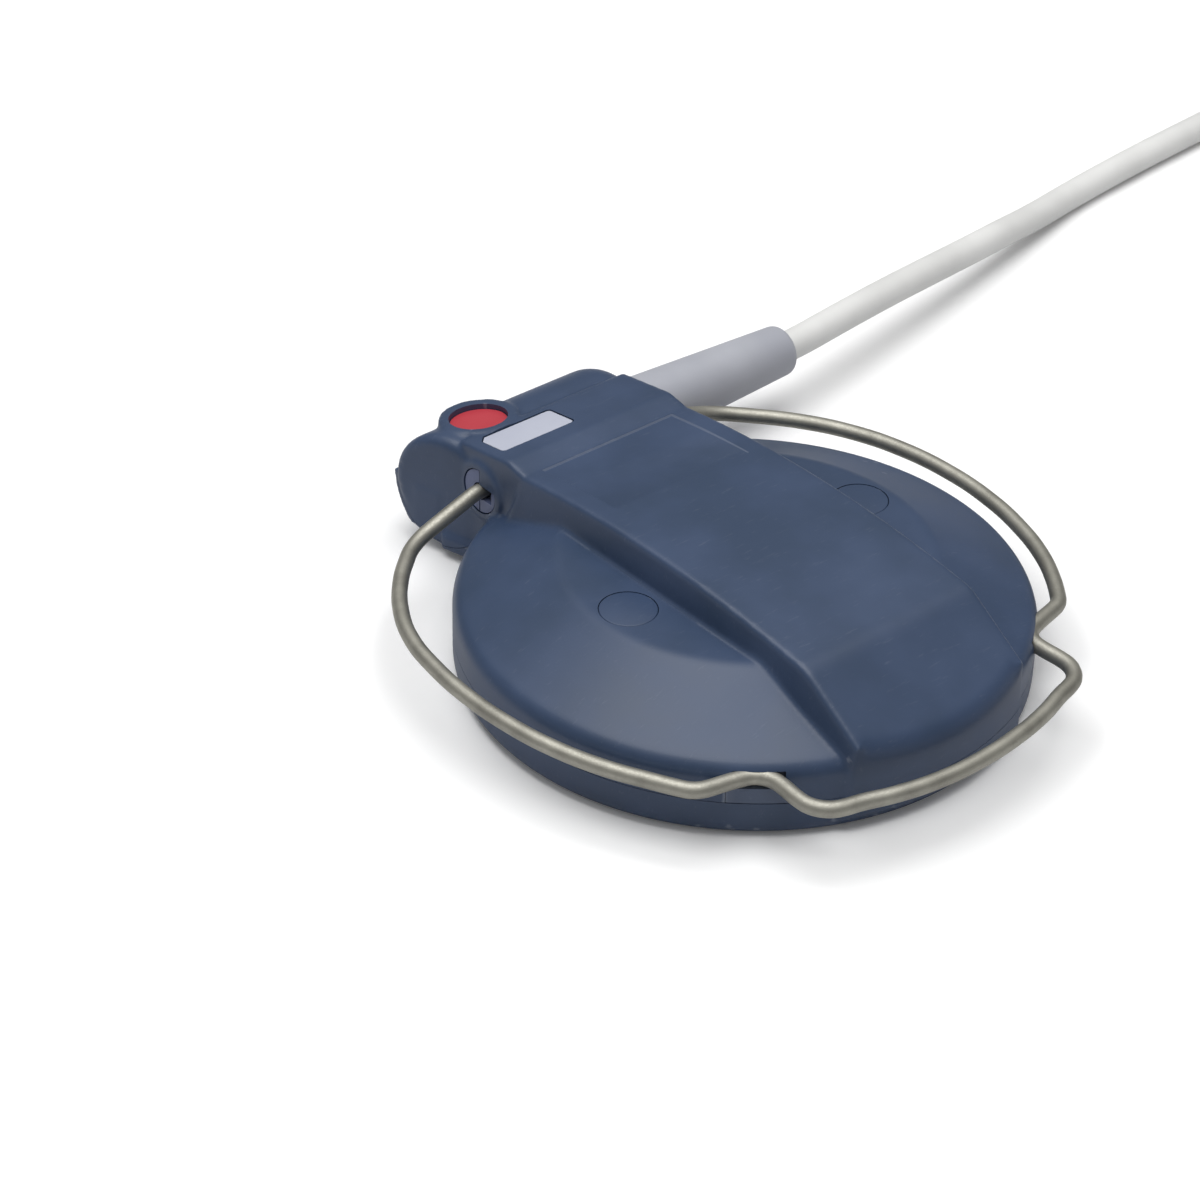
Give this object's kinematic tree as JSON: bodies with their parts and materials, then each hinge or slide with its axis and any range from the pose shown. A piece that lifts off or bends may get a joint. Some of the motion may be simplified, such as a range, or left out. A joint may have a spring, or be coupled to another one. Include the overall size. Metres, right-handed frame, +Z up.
{
  "type": "ultrasound transducer probe",
  "caption": "Round belt-worn ultrasound transducer with an arched spine, a wire belt loop, a colour disc and a cable with strain relief, coil and plug.",
  "frame": {"origin": "on the surface the probe stands on, under the middle of the probe's own bounding box (disc, neck and belt wire, without the cable)", "axes": "+Z up out of the spine, +Y along the spine towards the neck, +X the side the cable leaves from"},
  "size_m": [0.3297, 0.1292, 0.0251],
  "materials": {
    "housing_blue": "fine satin moulded plastic, slate blue",
    "wire_steel": "drawn stainless wire, slightly rough",
    "bush_grey": "moulded plastic, grey blue",
    "label_grey": "satin label stock, bare",
    "code_red": "smooth red plastic",
    "boot_grey": "soft moulded sleeve, lilac grey",
    "cable_grey": "extruded jacket, pale grey",
    "seal_rubber": "soft black rubber",
    "carrier_white": "machined sheet",
    "ceramic": "fired ceramic, matt",
    "foam_grey": "closed-cell foam",
    "board_green": "solder-resist laminate",
    "tinned_steel": "tinned sheet",
    "header_white": "moulded nylon",
    "lead_red": "wire insulation",
    "zinc_steel": "zinc-plated steel",
    "brass": "turned brass",
    "plug_grey": "moulded plastic",
    "nickel": "nickel-plated shell",
    "tie_black": "black moulded plastic"
  },
  "bodies": {
    "root": {"upper_housing": "housing_blue", "lower_housing": "housing_blue", "wire_keeper_left": "housing_blue", "wire_keeper_right": "housing_blue", "screw_plug_left": "housing_blue", "screw_plug_right": "housing_blue", "belt_wire": "wire_steel", "wire_bush_left": "bush_grey", "wire_bush_right": "bush_grey", "label_plate": "label_grey", "colour_code_disc": "code_red", "housing_seal": "seal_rubber", "crystal_carrier": "carrier_white", "piezo_crystal_1": "ceramic", "piezo_crystal_2": "ceramic", "piezo_crystal_3": "ceramic", "piezo_crystal_4": "ceramic", "piezo_crystal_5": "ceramic", "piezo_crystal_6": "ceramic", "piezo_crystal_7": "ceramic", "backing_foam": "foam_grey", "circuit_board": "board_green", "shield_can": "tinned_steel", "lead_header": "header_white", "signal_lead": "lead_red", "ground_lead": "cable_grey", "case_screw_left": "zinc_steel", "case_screw_right": "zinc_steel", "cable_jacket_end": "cable_grey", "crimp_ferrule": "brass", "strain_relief": "boot_grey", "cable": "cable_grey", "cable_coil": "cable_grey", "coil_tie": "tie_black", "plug_lead": "cable_grey", "plug_boot": "boot_grey", "plug_grip": "plug_grey", "plug_shell": "nickel", "contact_insert": "tie_black", "contact_pin_1": "brass", "contact_pin_2": "brass", "contact_pin_3": "brass", "contact_pin_4": "brass", "contact_pin_5": "brass", "contact_pin_6": "brass"}
  },
  "joints": []
}
